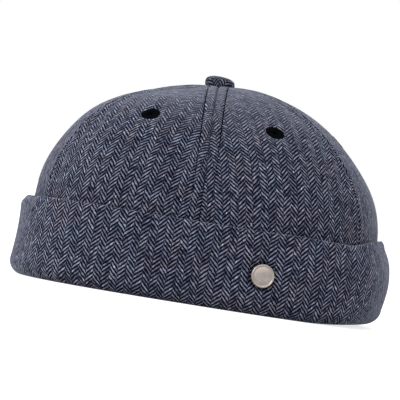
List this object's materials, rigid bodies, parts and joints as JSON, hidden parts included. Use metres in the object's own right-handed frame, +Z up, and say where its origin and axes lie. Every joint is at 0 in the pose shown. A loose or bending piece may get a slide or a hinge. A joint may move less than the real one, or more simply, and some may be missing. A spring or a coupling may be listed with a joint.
{
  "type": "docker beanie",
  "caption": "Close-fitting brimless cap of herringbone cloth panels with a turned-up band, vent eyelets, a covered top button and a round metal stud on the band.",
  "frame": {"origin": "on the ground under the middle of the cap's box, where the folded rim rests", "axes": "+Z up through the crown to the top button, -Y to the wearer's front, +X to the wearer's left"},
  "size_m": [0.19, 0.1988, 0.1132],
  "materials": {
    "herringbone_cloth": "dark navy and pale grey-blue wool herringbone twill, slightly fuzzy",
    "eyelet_thread": "black embroidery thread",
    "stud_metal": "warm silver, satin"
  },
  "bodies": {
    "root": {"crown_panel_front_left": "herringbone_cloth", "crown_panel_side_left": "herringbone_cloth", "crown_panel_back_left": "herringbone_cloth", "crown_panel_back_right": "herringbone_cloth", "crown_panel_side_right": "herringbone_cloth", "crown_panel_front_right": "herringbone_cloth", "cuff": "herringbone_cloth", "top_button": "herringbone_cloth", "eyelet_front_left": "eyelet_thread", "eyelet_side_left": "eyelet_thread", "eyelet_back_left": "eyelet_thread", "eyelet_back_right": "eyelet_thread", "eyelet_side_right": "eyelet_thread", "eyelet_front_right": "eyelet_thread", "cuff_stud": "stud_metal"}
  },
  "joints": []
}
